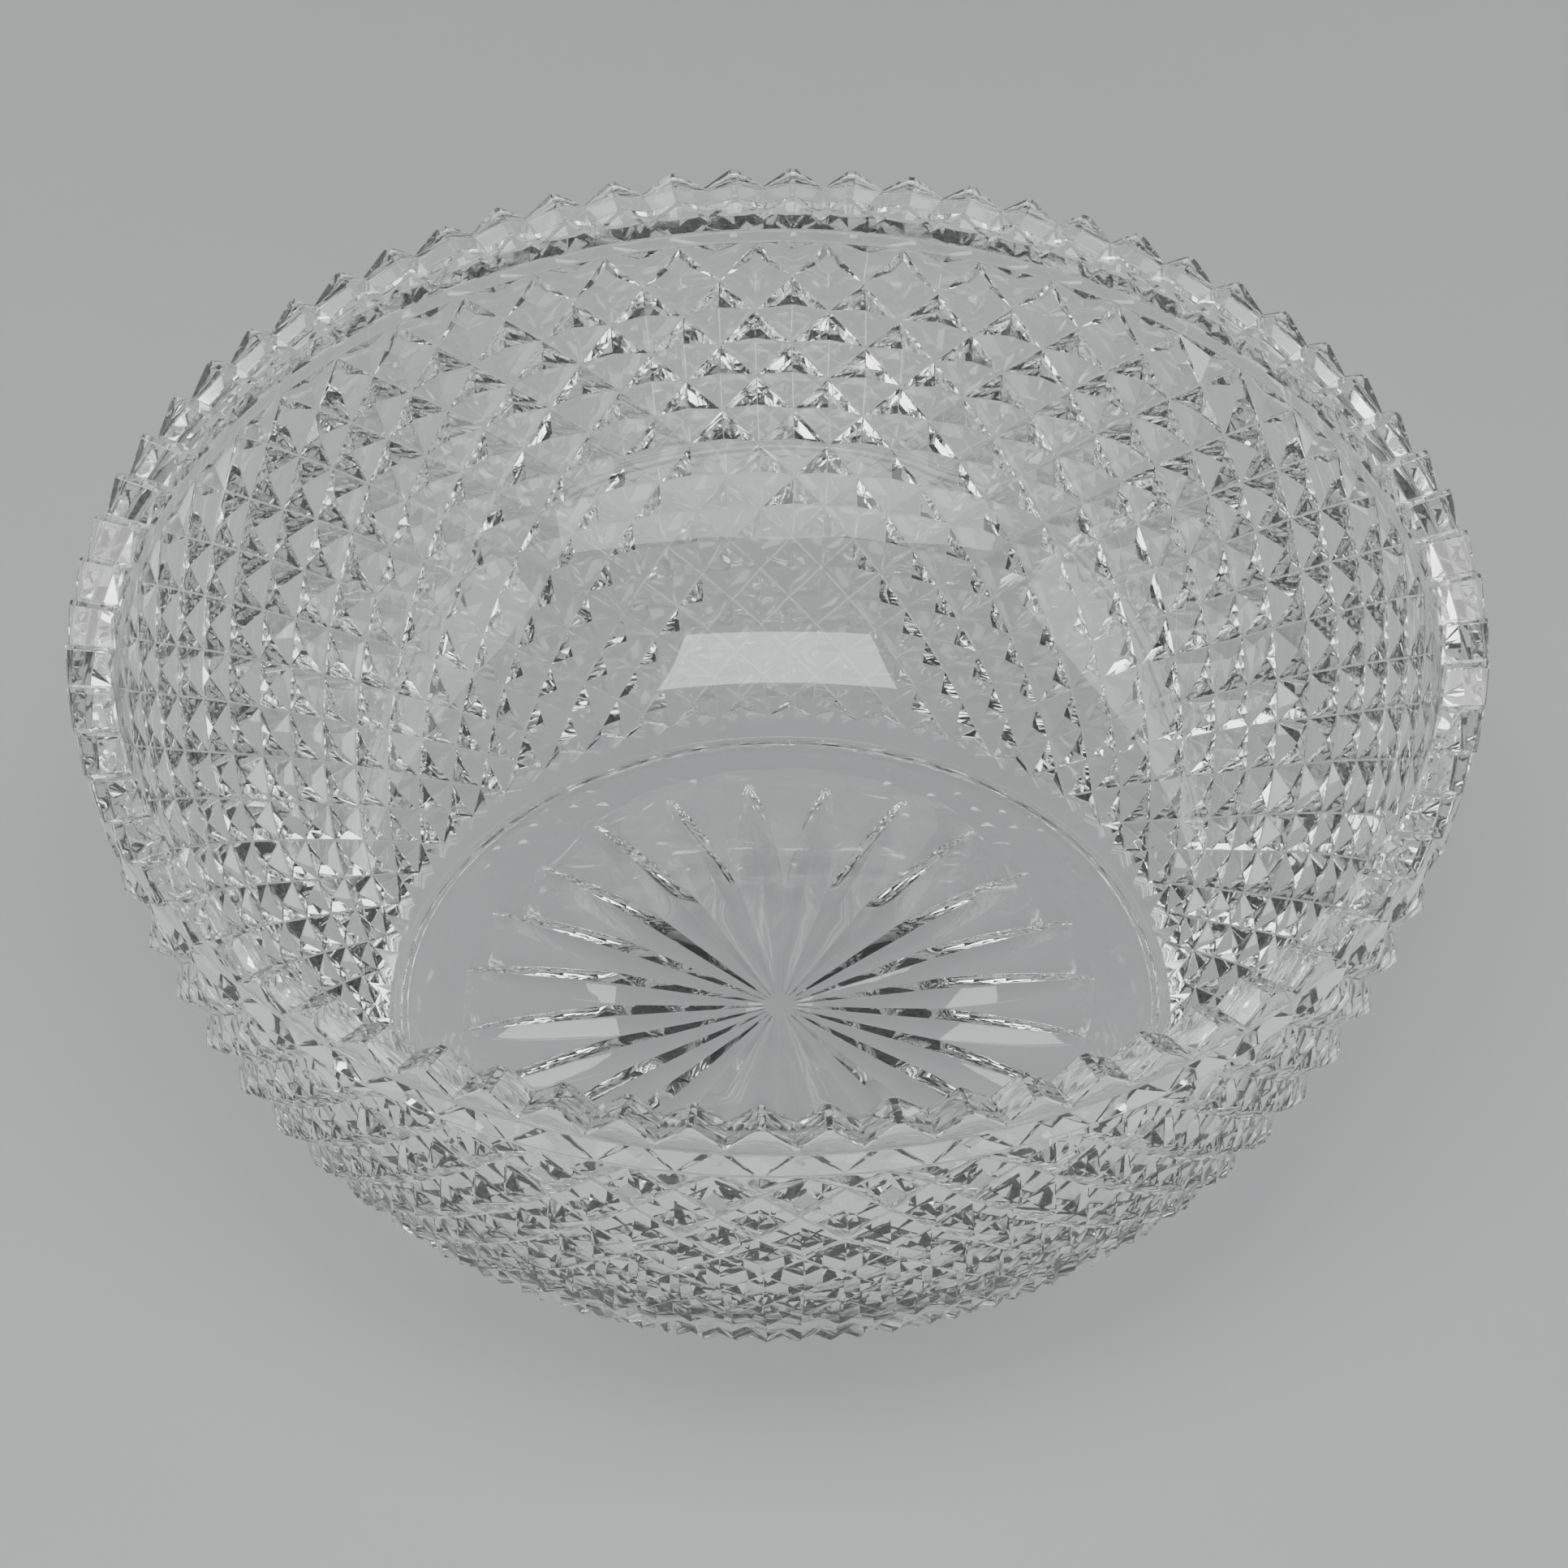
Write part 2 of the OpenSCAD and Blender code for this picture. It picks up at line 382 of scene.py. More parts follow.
    def _leaves(
        self,
        skin: Skin,
        turn: np.ndarray,
        reach: np.ndarray,
        merge: float,
        keel_start: np.ndarray,
        fork: np.ndarray,
    ) -> tuple[np.ndarray, np.ndarray, np.ndarray]:
        """Adds the free part of the leaves.

        The half width is (ray width / 2) (1 - f^2)^0.6, where f runs from 0 at the shared
        edges to 1 at the tip. The keel lies deeper by the steepness times the half width.

        Args:
            skin: the outside that they join.
            turn: turns of the leaves.
            reach: radius of each tip.
            merge: radius at which the leaves part.
            keel_start: corner numbers at which the keels go on.
            fork: corner numbers at which the leaves part.

        Returns:
            Corner numbers of the left edges, the right edges and the tips.
        """
        share = np.array(self.far)[:, None]
        radius = merge + share * (reach - merge)
        half = self.ray_width / 2 * (1 - share**2) ** self.taper
        spread = np.degrees(np.arcsin(half / radius))
        keel = skin.add(polar(radius, turn, self.recess + half * self.steepness))
        left = skin.add(polar(radius, turn - spread, self.recess))
        right = skin.add(polar(radius, turn + spread, self.recess))
        tip = skin.add(polar(reach, turn, self.recess))
        keel = np.concatenate([keel_start, keel])
        left = np.concatenate([np.roll(fork, 1, 1), left])
        right = np.concatenate([fork, right])
        skin.face(Finish.TURNED, left[:-1], keel[:-1], keel[1:], left[1:])
        skin.face(Finish.TURNED, keel[:-1], right[:-1], right[1:], keel[1:])
        skin.face(Finish.TURNED, left[-1], keel[-1], tip)
        skin.face(Finish.TURNED, keel[-1], right[-1], tip)
        for line in (keel, left, right):
            skin.mark(Wear.LEAF, line[:-1], line[1:])
            skin.mark(Wear.LEAF, line[-1], tip)
        return left, right, tip


@dataclass
class DiamondWall:
    """The wall of raised diamonds between two families of helical V cuts."""

    rng: np.random.Generator
    diamonds: int = 52
    rows: int = 16
    cut_depth: float = 3.9
    wall_radius: float = 148.1
    wall_height: float = 122.6
    field_top: float = 111.7
    cone_foot: float = 109.4
    field_bottom: float = 4.9
    band_top: float = 6.7
    band_radius: float = 96.2
    base_radius: float = BASE_RADIUS
    neck_radius: float = NECK_RADIUS
    neck_height: float = NECK_HEIGHT
    spacing_drift: float = 0.07
    spacing_limit: float = 0.16
    sway: float = 0.035
    sway_pace: float = 0.7
    end_drift: float = 0.4
    depth_drift: float = 0.05
    depth_limits: tuple[float, float] = (-0.1, 0.08)
    crest_wear: float = 0.25
    kite_reach: float = 0.62
    kite_foot: float = 0.27
    kite_half: float = 0.3
    kite_depth: float = 0.05

    def __post_init__(self) -> None:
        """Works out the drop of the elliptical outline and the even steps of its cuts."""
        sides = math.sqrt(1 - (self.band_radius / self.wall_radius) ** 2)
        self.drop = (self.wall_height - self.band_top) / sides
        self.top_step = math.atanh((self.wall_height - self.field_top) / self.drop)
        bottom_step = math.atanh((self.wall_height - self.field_bottom) / self.drop)
        self.row_step = (bottom_step - self.top_step) / self.rows

    def on_wall(self, across: np.ndarray, down: np.ndarray, depth: Lengths) -> np.ndarray:
        """Corners on the outline, or that far under it, square to it.

        With m the height in even steps, the radius is R / cosh m and the height is the
        widest height less the drop D times tanh m, so that a cut of one angle is straight
        in across and down. Square to the outline is D inward for R sinh m upward.

        Args:
            across: half diamonds round the wall.
            down: half rows below the top of the field.
            depth: depth of the corner inside the outline where the wall is widest.

        Returns:
            The corners, in millimetres.
        """
        step = self.top_step + down * self.row_step
        girth = 1 / np.cosh(step)
        lean = self.wall_radius * np.sinh(step)
        depth = depth * girth / np.hypot(self.drop, lean)
        radius = self.wall_radius * girth - depth * self.drop
        height = self.wall_height - self.drop * np.tanh(step) + depth * lean
        return polar(radius, self._turns(across), height)

    def _turns(self, across: np.ndarray) -> np.ndarray:
        """Turns in degrees of that many half diamonds round the wall."""
        return across * HALF_TURN / self.diamonds

    def _steps_down(self, height: float) -> float:
        """Half rows from the top of the field down to a height."""
        step = math.atanh((self.wall_height - height) / self.drop)
        return (step - self.top_step) / self.row_step

    def build(self, skin: Skin) -> tuple[np.ndarray, np.ndarray, np.ndarray, np.ndarray]:
        """Adds the diamonds: crests and crossings take turns in every row and column.

        Args:
            skin: the outside that they join.

        Returns:
            The bottom ring's corner numbers and turns, then the top ring's.
        """
        rows, columns = np.arange(self.rows + 1.0), np.arange(2 * self.diamonds)
        down, across = np.meshgrid(rows, columns, indexing="ij")
        crest = (across + down) % 2 == 1
        moved_across, moved_down, depth = self._cut_by_hand(across, down, crest)
        points = self.on_wall(moved_across, moved_down, depth)
        points[0] = self._onto_cone(points[0], self.cone_foot, self.neck_radius, self.neck_height)
        points[-1] = self._onto_cone(points[-1], self.band_top, self.base_radius, 0.0)
        node = skin.add(points)
        self._flanks(skin, node, crest, down)
        self._kites(skin, node, moved_across, moved_down)
        turns = self._turns(moved_across)
        return node[-1], turns[-1], node[0], turns[0]

    def _cut_by_hand(
        self, across: np.ndarray, down: np.ndarray, crest: np.ndarray
    ) -> tuple[np.ndarray, np.ndarray, np.ndarray]:
        """Moves the crests and crossings as hand cutting does.

        Every cut has its own shift and depth and sways a little on its way. A crossing
        lies where its two cuts meet, and a crest moves by the mean of the crossings around
        it. In the first and last row the crests are where the wall meets its cones.

        Args:
            across: half diamonds round the wall.
            down: half rows below the top of the field.
            crest: which corners are crests.

        Returns:
            The moved places across and down, and the depths.
        """
        rising = ((across + down) // 2).astype(int) % self.diamonds
        falling = ((across - down) // 2).astype(int) % self.diamonds
        cuts, limit = (2, self.diamonds), self.spacing_limit
        drift = self.rng.normal(0.0, self.spacing_drift, cuts).clip(-limit, limit)
        wave = self.rng.uniform(0, 2 * math.pi, cuts)
        pace = down * self.sway_pace
        shift_up = drift[0][rising] + self.sway * np.sin(pace + wave[0][rising])
        shift_down = drift[1][falling] + self.sway * np.sin(pace + wave[1][falling])
        moved_across = across + (shift_up + shift_down) / 2
        moved_down = down + (shift_up - shift_down) / 2
        off_across, off_down = moved_across - across, moved_down - down

        own_depth = 1 + self.rng.normal(0.0, self.depth_drift, cuts).clip(*self.depth_limits)
        depth = self.cut_depth * (own_depth[0][rising] + own_depth[1][falling]) / 2
        wear = self.rng.uniform(0.0, self.crest_wear, depth.shape)

        is_end = (down == 0) | (down == self.rows)
        crest_across = np.where(is_end, across, across + mean_around(off_across))
        moved_across = np.where(crest, crest_across, moved_across)
        moved_down = np.where(crest, down + mean_around(off_down), moved_down)
        for row, height in ((0, self.cone_foot), (self.rows, self.band_top)):
            at_end = np.where(crest, self._steps_down(height), row + self.end_drift * off_down)
            moved_down = np.where(down == row, at_end, moved_down)
        return moved_across, moved_down, np.where(is_end, 0.0, np.where(crest, wear, depth))

    def _onto_cone(
        self, points: np.ndarray, foot: float, end_radius: float, end_height: float
    ) -> np.ndarray:
        """Moves corners beyond the end of the wall onto the cone that leads on from it.

        Args:
            points: the corners of one row.
            foot: height where the cone starts on the wall.
            end_radius: radius of the cone's far end.
            end_height: height of its far end.

        Returns:
            The corners with their radius changed where they lie on the cone.
        """
        share = ((points[:, 2] - foot) / (end_height - foot)).clip(0, 1)
        outline = self.wall_radius * math.sqrt(1 - ((self.wall_height - foot) / self.drop) ** 2)
        radius = np.hypot(points[:, 0], points[:, 1])
        wanted = np.where(share > 0, outline + share * (end_radius - outline), radius)
        points[:, :2] *= (wanted / radius)[:, None]
        return points

    def _flanks(
        self, skin: Skin, node: np.ndarray, crest: np.ndarray, down: np.ndarray
    ) -> None:
        """Adds the four flanks round each crest and marks the valleys and ridges.

        Args:
            skin: the outside that they join.
            node: corner numbers, one row for each half row.
            crest: which corners are crests.
            down: half rows below the top of the field.
        """
        left, right = np.roll(node, 1, 1), np.roll(node, -1, 1)
        up, below = np.roll(node, 1, 0), np.roll(node, -1, 0)
        upper, lower = crest & (down > 1), crest & (down < self.rows)
        skin.face(Finish.FACET, node[upper], right[upper], up[upper])
        skin.face(Finish.FACET, node[upper], up[upper], left[upper])
        skin.face(Finish.FACET, node[lower], left[lower], below[lower])
        skin.face(Finish.FACET, node[lower], below[lower], right[lower])

        valley = ~crest & (down < self.rows)
        for side in (1, -1):
            skin.mark(Wear.VALLEY, node[valley], np.roll(below, side, 1)[valley])
        skin.mark(Wear.RIDGE, node[lower], below[lower])
        skin.mark(Wear.RIDGE, node[upper], up[upper])
        whole = upper & lower
        for beside in (left, right):
            skin.mark(Wear.RIDGE, node[whole], beside[whole])

    def _kites(
        self, skin: Skin, node: np.ndarray, across: np.ndarray, down: np.ndarray
    ) -> None:
        """Adds the upper half of the first full diamonds.

        The V cuts run out towards the neck, so they are narrow there, and a kite of the
        turned wall stays between them. Its corners lie just under the outline, at fixed
        shares of the way from the crest to the end of the row above it.

        Args:
            skin: the outside that they join.
            node: corner numbers, one row for each half row.
            across: half diamonds round the wall, as cut.
            down: half rows below the top of the field, as cut.
        """
        crest = np.arange(0, 2 * self.diamonds, 2)
        right, left = crest + 1, (crest - 1) % (2 * self.diamonds)
        home = np.stack([across[1, crest], down[1, crest]], axis=-1)
        tip = np.stack([across[0, crest], down[0, crest]], axis=-1)
        sideways = np.array([self.kite_half, 0.0])
        high = home + self.kite_reach * (tip - home)
        middle = home + self.kite_foot * (tip - home)
        places = np.stack([high, middle - sideways, middle + sideways])
        kite = skin.add(self.on_wall(places[..., 0], places[..., 1], self.kite_depth))
        peak, run, out = node[1, crest], node[0, crest], kite[0]
        for side, low, crossing in ((-1, kite[1], node[1, left]), (1, kite[2], node[1, right])):
            cells = (peak, low, out), (peak, crossing, low), (low, crossing, run), (low, run, out)
            for cell in cells:
                skin.face(Finish.FACET, *cell[::side])
            skin.mark(Wear.RIDGE, low, out)
            skin.mark(Wear.RIDGE, peak, low)
            skin.mark(Wear.RIDGE, low, crossing)


@dataclass
class RingCuts:
    """The plain flanks of the two ring cuts between the diamonds and the teeth."""

    neck_radius: float = NECK_RADIUS
    neck_height: float = NECK_HEIGHT
    crest_radius: float = 148.5
    crest_height: float = 114.4
    cut_radius: float = 147.0
    cut_height: float = 119.3
    lip_radius: float = 149.5
    lip_height: float = 121.5
    lip_rise: float = 0.5
    lip_lean: float = 0.11
    wall_lean: float = 0.43
    edge_round: float = 0.3
    ring_count: int = 416

    def build(
        self, skin: Skin, start: np.ndarray, start_turns: np.ndarray
    ) -> tuple[np.ndarray, np.ndarray]:
        """Adds the ring cuts above the diamonds.

        The first point of the outline only gives the neck's rounding its direction.

        Args:
            skin: the outside that they join.
            start: corner numbers of the diamonds' top ring.
            start_turns: their turns.

        Returns:
            The lip ring's corner numbers and turns.
        """
        outline = rounded(
            np.array([
                [self.neck_radius + self.wall_lean, self.neck_height - 1.0],
                [self.neck_radius, self.neck_height],
                [self.crest_radius, self.crest_height],
                [self.cut_radius, self.cut_height],
                [self.lip_radius, self.lip_height],
                [self.lip_radius + self.lip_lean, self.lip_height + self.lip_rise],
            ]),
            self.edge_round,
        )[1:]
        turns = even_turns(self.ring_count)
        rings = skin.add(polar(outline[:, :1], turns, outline[:, 1:]))
        skin.face(Finish.TURNED, *zipped(start, start_turns, rings[0], turns).T)
        skin.strip(Finish.TURNED, rings)
        return rings[-1], turns


@dataclass
class ToothedRim:
    """The rim, cut into blunt teeth whose lines all aim at one point on the axis."""

    rng: np.random.Generator
    teeth: int = 68
    radius: float = 150.0
    top: float = 129.0
    tooth_depth: float = 5.4
    tip_flat: float = 1.5
    aim_height: float = 100.0
    mouth_radius: float = MOUTH_RADIUS
    mouth_height: float = MOUTH_HEIGHT
    mouth_flare: float = 0.4
    lip_inset: float = 0.28
    lip_height: float = 122.4
    edge_inset: float = 0.02
    outer_edge: float = 0.3
    outer_part: float = 3.5
    inner_edge: float = 0.65
    edge_share: float = 0.013
    valley_lift: float = 0.35
    corner_drop: float = 0.7
    valley_drift: float = 0.035
    flat_drift: tuple[float, float] = (0.6, 1.25)
    low_drift: tuple[float, float] = (-0.25, 0.3)
    tip_wear: float = 0.3

    def _columns(self) -> tuple[np.ndarray, np.ndarray]:
        """Turns and heights of the zigzag at the outside, tooth by tooth.

        Each tooth has a rounded valley, two straight flanks and a blunt tip with rounded
        corners. Shares of the tooth's own width place its columns, and each tooth's
        width, depth and height drift a little, as cuts by hand do.

        Returns:
            The turns in degrees and the heights, eleven columns for each tooth.
        """
        n, pitch = self.teeth, FULL_TURN / self.teeth
        drift = self.rng.uniform(-self.valley_drift, self.valley_drift, n)
        valley = (np.arange(n) + drift) * pitch
        width = next_turns(valley) - valley
        even_flat = math.degrees(self.tip_flat / 2 / self.radius) / pitch
        flat = even_flat * self.rng.uniform(*self.flat_drift, n)
        low = self.top - self.tooth_depth + self.rng.uniform(*self.low_drift, n)
        high = self.top - self.rng.uniform(0.0, self.tip_wear, n)
        next_low = np.roll(low, -1)
        e, left, right = self.edge_share, 0.5 - flat, 0.5 + flat
        tip = left - e, left, left + e, right - e, right, right + e
        shares = np.stack(np.broadcast_arrays(0.0, e, 0.25, *tip, 0.75, 1 - e), axis=1)
        rise = (shares / left[:, None]).clip(0, 1)
        fall = ((1 - shares) / (1 - right)[:, None]).clip(0, 1)
        heights = np.where(
            shares < 0.5,
            low[:, None] + rise * (high - low)[:, None],
            next_low[:, None] + fall * (high - next_low)[:, None],
        )
        heights[:, 0] += self.valley_lift * e * (high - low)
        heights[:, [4, 7]] -= self.corner_drop * e * (high - low)[:, None]
        turns = valley[:, None] + shares * width[:, None]
        return turns.ravel(), heights.ravel()

    def build(
        self, skin: Skin, start: np.ndarray, start_turns: np.ndarray
    ) -> tuple[np.ndarray, np.ndarray]:
        """Adds the teeth above the lip.

        Along each column the top runs from the outside towards the aim on the axis, so
        its height at radius r is aim + (height - aim) r / R. It ends where it meets the
        flared mouth, whose radius grows evenly with height.

        Args:
            skin: the outside that they join.
            start: corner numbers of the lip ring.
            start_turns: their turns.

        Returns:
            The inner ring's corner numbers and turns.
        """
        turns, heights = self._columns()
        fall = (heights - self.aim_height) / self.radius
        flare = self.mouth_flare / (self.top - self.mouth_height)
        foot = self.mouth_radius - flare * self.mouth_height
        meet = (foot + flare * self.aim_height) / (1 - flare * fall)
        meet_height = self.aim_height + fall * meet
        outer = self.radius - self.outer_edge
        along = self.radius - self.outer_part
        inner = meet + self.inner_edge
        lip = skin.add(polar(self.radius - self.lip_inset, turns, self.lip_height))
        rows = [
            (self.radius - self.edge_inset, heights - self.outer_edge),
            (outer, self.aim_height + fall * outer),
            (along, self.aim_height + fall * along),
            (inner, self.aim_height + fall * inner),
            (meet - flare * self.inner_edge, meet_height - self.inner_edge),
        ]
        grid = skin.add(np.stack([polar(radius, turns, height) for radius, height in rows]))
        skin.face(Finish.TURNED, *zipped(start, start_turns, lip, turns).T)
        skin.strip(Finish.TURNED, np.stack([lip, grid[0]]))
        skin.strip(Finish.FACET, grid)
        return grid[-1], turns


@dataclass
class SmoothInside:
    """The polished inside: an elliptical wall rounded into a flat floor."""

    mouth_radius: float = MOUTH_RADIUS
    mouth_height: float = MOUTH_HEIGHT
    wall_top: float = 119.0
    floor_height: float = 15.5
    corner_radius: float = 85.8
    floor_round: float = 22.0
    wall_rings: int = 20
    curve_rings: int = 12
    floor_rings: tuple[float, ...] = (54.0, 40.0, 24.0, 10.0)
    ring_count: int = 272

    def _outline(self) -> np.ndarray:
        """Radius and height from the top of the wall down to the last ring of the floor.

        The wall is the ellipse r = R sqrt(1 - ((Z - z) / D)^2). From the height of the
        rounding down it is the quadratic curve whose middle control point is where the
        wall's tangent meets the floor.

        Returns:
            The points of the outline.
        """
        span = self.mouth_height - self.floor_height
        drop = span / math.sqrt(1 - (self.corner_radius / self.mouth_radius) ** 2)
        round_height = self.floor_height + self.floor_round
        heights = np.linspace(self.wall_top, round_height, self.wall_rings)
        radii = self.mouth_radius * np.sqrt(1 - ((self.mouth_height - heights) / drop) ** 2)
        top = float(radii[-1])
        lean = (self.mouth_height - round_height) * (self.mouth_radius / drop) ** 2 / top
        corner = top - self.floor_round * lean
        flat = corner - math.hypot(top - corner, self.floor_round)
        curve = bend(
            np.array([flat, self.floor_height]),
            np.array([corner, self.floor_height]),
            np.array([top, round_height]),
            np.linspace(1.0, 0.0, self.curve_rings + 1)[1:, None],
        )
        floor = np.array([[radius, self.floor_height] for radius in self.floor_rings])
        return np.concatenate([np.stack([radii, heights], axis=1), curve, floor])

    def build(self, skin: Skin, start: np.ndarray, start_turns: np.ndarray) -> None:
        """Adds the inside, down from the rim to the middle of the floor.

        Args:
            skin: the outside of the glass, which it closes.
            start: corner numbers of the rim's inner ring.
            start_turns: their turns.
        """
        outline, turns = self._outline(), even_turns(self.ring_count)
        rings = skin.add(polar(outline[:, :1], turns, outline[:, 1:]))
        middle = skin.add(np.array([[0.0, 0.0, self.floor_height]]))
        skin.face(Finish.POLISHED, *zipped(start, start_turns, rings[0], turns).T)
        skin.strip(Finish.POLISHED, rings)
        skin.face(Finish.POLISHED, rings[-1], np.roll(rings[-1], -1), middle)


@dataclass(frozen=True)
class CutCrystal:
    """Heavy colourless lead glass: clear, hand polished, with fine scratches and a faint tint.

    The haze is the share of light that the surface scatters: the wheel leaves a faint
    satin on the cuts, in streaks, and the inside is clear.
    """

    name: str
    haze: float
    streak_haze: float
    roughest: float
    colour: Colour = (0.985, 0.995, 0.99, 1.0)
    haze_colour: Colour = (0.93, 0.95, 0.94, 1.0)
    shadow_pass: Colour = (0.42, 0.43, 0.43, 1.0)
    bending: float = 1.55
    polish_grain: float = 900.0
    polish_detail: float = 3.0
    rough_part: tuple[float, float] = (0.45, 0.8)
    streak_part: tuple[float, float] = (0.4, 0.7)
    sway_grain: float = 55.0
    sway_detail: float = 1.0
    sway_strength: float = 0.12
    sway_height: float = 0.0006

    def material(self) -> bpy.types.Material:
        """Builds the glass with its polish marks, from Object coordinates.

        Returns:
            The material: glass with a little satin, which lets part of the light through
            to its shadow.
        """
        material = bpy.data.materials.new(self.name)
        material.use_nodes = True
        tree = material.node_tree
        tree.nodes.clear()
        place = tree.nodes.new("ShaderNodeTexCoord")
        polish = self._noise(tree, place, self.polish_grain, self.polish_detail)
        glass = self._glass(tree, place, polish)
        streaks = self._range(tree, polish, self.streak_part, (self.haze, self.streak_haze))
        surface = self._mix(tree, streaks.outputs["Result"], glass, self._satin(tree))
        clear = tree.nodes.new("ShaderNodeBsdfTransparent")
        clear.inputs["Color"].default_value = self.shadow_pass
        path = tree.nodes.new("ShaderNodeLightPath")
        whole = self._mix(tree, path.outputs["Is Shadow Ray"], surface, clear)
        output = tree.nodes.new("ShaderNodeOutputMaterial")
        tree.links.new(whole.outputs["Shader"], output.inputs["Surface"])
        return material

    def _glass(
        self, tree: bpy.types.NodeTree, place: bpy.types.Node, polish: bpy.types.Node
    ) -> bpy.types.Node:
        """Adds the clear glass, uneven in polish and level.

        Args:
            tree: the material's nodes.
            place: the node that gives Object coordinates.
            polish: the noise of the polish marks.

        Returns:
            The glass node.
        """
        glass = tree.nodes.new("ShaderNodeBsdfPrincipled")
        glass.inputs["Base Color"].default_value = self.colour
        glass.inputs["Transmission Weight"].default_value = 1.0
        glass.inputs["IOR"].default_value = self.bending
        rough = self._range(tree, polish, self.rough_part, (0.0, self.roughest))
        tree.links.new(rough.outputs["Result"], glass.inputs["Roughness"])
        sway = self._noise(tree, place, self.sway_grain, self.sway_detail)
        bump = tree.nodes.new("ShaderNodeBump")
        bump.inputs["Strength"].default_value = self.sway_strength
        bump.inputs["Distance"].default_value = self.sway_height
        tree.links.new(sway.outputs["Fac"], bump.inputs["Height"])
        tree.links.new(bump.outputs["Normal"], glass.inputs["Normal"])
        return glass

    def _satin(self, tree: bpy.types.NodeTree) -> bpy.types.Node:
        """Adds the satin, which scatters as much light back as it lets through.

        Args:
            tree: the material's nodes.

        Returns:
            The node that mixes both halves.
        """
        halves = []
        for kind in ("ShaderNodeBsdfDiffuse", "ShaderNodeBsdfTranslucent"):
            half = tree.nodes.new(kind)
            half.inputs["Color"].default_value = self.haze_colour
            halves.append(half)
        return self._mix(tree, None, *halves)

    @staticmethod
    def _mix(
        tree: bpy.types.NodeTree,
        share: bpy.types.NodeSocket | None,
        first: bpy.types.Node,
        second: bpy.types.Node,
    ) -> bpy.types.Node:
        """Adds a mix of two shaders.

        Args:
            tree: the material's nodes.
            share: the socket that gives the second one's share, or None for half.
            first: the first shader's node.
            second: the second shader's node.

        Returns:
            The mixing node.
        """
        mix = tree.nodes.new("ShaderNodeMixShader")
        if share is not None:
            tree.links.new(share, mix.inputs["Fac"])
        tree.links.new(first.outputs[0], mix.inputs[1])
        tree.links.new(second.outputs[0], mix.inputs[2])
        return mix

    @staticmethod
    def _noise(
        tree: bpy.types.NodeTree, place: bpy.types.Node, scale: float, detail: float
    ) -> bpy.types.Node:
        """Adds noise of that scale and detail on Object coordinates.

        Args:
            tree: the material's nodes.
            place: the node that gives Object coordinates.
            scale: grains to the metre.
            detail: number of finer layers.

        Returns:
            The noise node.
        """
        noise = tree.nodes.new("ShaderNodeTexNoise")
        noise.inputs["Scale"].default_value = scale
        noise.inputs["Detail"].default_value = detail
        tree.links.new(place.outputs["Object"], noise.inputs["Vector"])
        return noise

    @staticmethod
    def _range(
        tree: bpy.types.NodeTree,
        noise: bpy.types.Node,
        part: tuple[float, float],
        to: tuple[float, float],
    ) -> bpy.types.Node:
        """Adds a node that stretches part of the noise's range to other values.

        Args:
            tree: the material's nodes.
            noise: the noise node.
            part: lowest and highest value of the noise that count.
            to: what they become.

        Returns:
            The stretching node.
        """
        stretch = tree.nodes.new("ShaderNodeMapRange")
        low, high = stretch.inputs["From Min"], stretch.inputs["From Max"]
        low.default_value, high.default_value = part
        low, high = stretch.inputs["To Min"], stretch.inputs["To Max"]
        low.default_value, high.default_value = to
        tree.links.new(noise.outputs["Fac"], stretch.inputs["Value"])
        return stretch


CUTS = CutCrystal("cut_crystal", haze=0.015, streak_haze=0.05, roughest=0.06)
INSIDE = CutCrystal("polished_inside", haze=0.0, streak_haze=0.012, roughest=0.03)


@dataclass(frozen=True)
class PaleBoard:
    """Matt pale board for the floor, with a slight mottle."""

    name: str = "pale_board"
    colour: Colour = (0.37, 0.374, 0.378, 1.0)
    mottle_grain: float = 60.0
    smoothest: float = 0.7
    roughest: float = 0.85

    def material(self) -> bpy.types.Material:
        """Builds the matt board.

        Returns:
            The material, with its roughness from noise on Object coordinates.
        """
        material = bpy.data.materials.new(self.name)
        material.use_nodes = True
        tree = material.node_tree
        shader = tree.nodes["Principled BSDF"]
        shader.inputs["Base Color"].default_value = self.colour
        place = tree.nodes.new("ShaderNodeTexCoord")
        mottle = tree.nodes.new("ShaderNodeTexNoise")
        mottle.inputs["Scale"].default_value = self.mottle_grain
        rough = tree.nodes.new("ShaderNodeMapRange")
        rough.inputs["To Min"].default_value = self.smoothest
        rough.inputs["To Max"].default_value = self.roughest
        tree.links.new(place.outputs["Object"], mottle.inputs["Vector"])
        tree.links.new(mottle.outputs["Fac"], rough.inputs["Value"])
        tree.links.new(rough.outputs["Result"], shader.inputs["Roughness"])
        return material


@dataclass
class PunchBowl:
    """The whole bowl as one piece of glass."""

    seed: int = 52
    edge_rounding: float = 0.32
    name: str = "punch_bowl"
    finishes: tuple[CutCrystal, CutCrystal] = (CUTS, INSIDE)

    def build(self) -> bpy.types.Object:
        """Builds the glass from the base out, up the wall, over the rim and down inside.

        Returns:
            The finished piece.
        """
        rng = np.random.default_rng(self.seed)
        skin = Skin()
        foot, foot_turns = StarBase(rng).build(skin)
        low, low_turns, high, high_turns = DiamondWall(rng).build(skin)
        skin.face(Finish.TURNED, *zipped(foot, foot_turns, low, low_turns).T)
        lip, lip_turns = RingCuts().build(skin, high, high_turns)
        mouth, mouth_turns = ToothedRim(rng).build(skin, lip, lip_turns)
        SmoothInside().build(skin, mouth, mouth_turns)
        piece = skin.piece(self.name)
        worn = piece.modifiers.new("worn_edges", "BEVEL")
        worn.limit_method = "WEIGHT"
        worn.width = self.edge_rounding * MM
        worn.segments = 1
        worn.use_clamp_overlap = False
        for finish in self.finishes:
            piece.data.materials.append(finish.material())
        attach(piece, "root")
        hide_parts("bowl")
        return piece


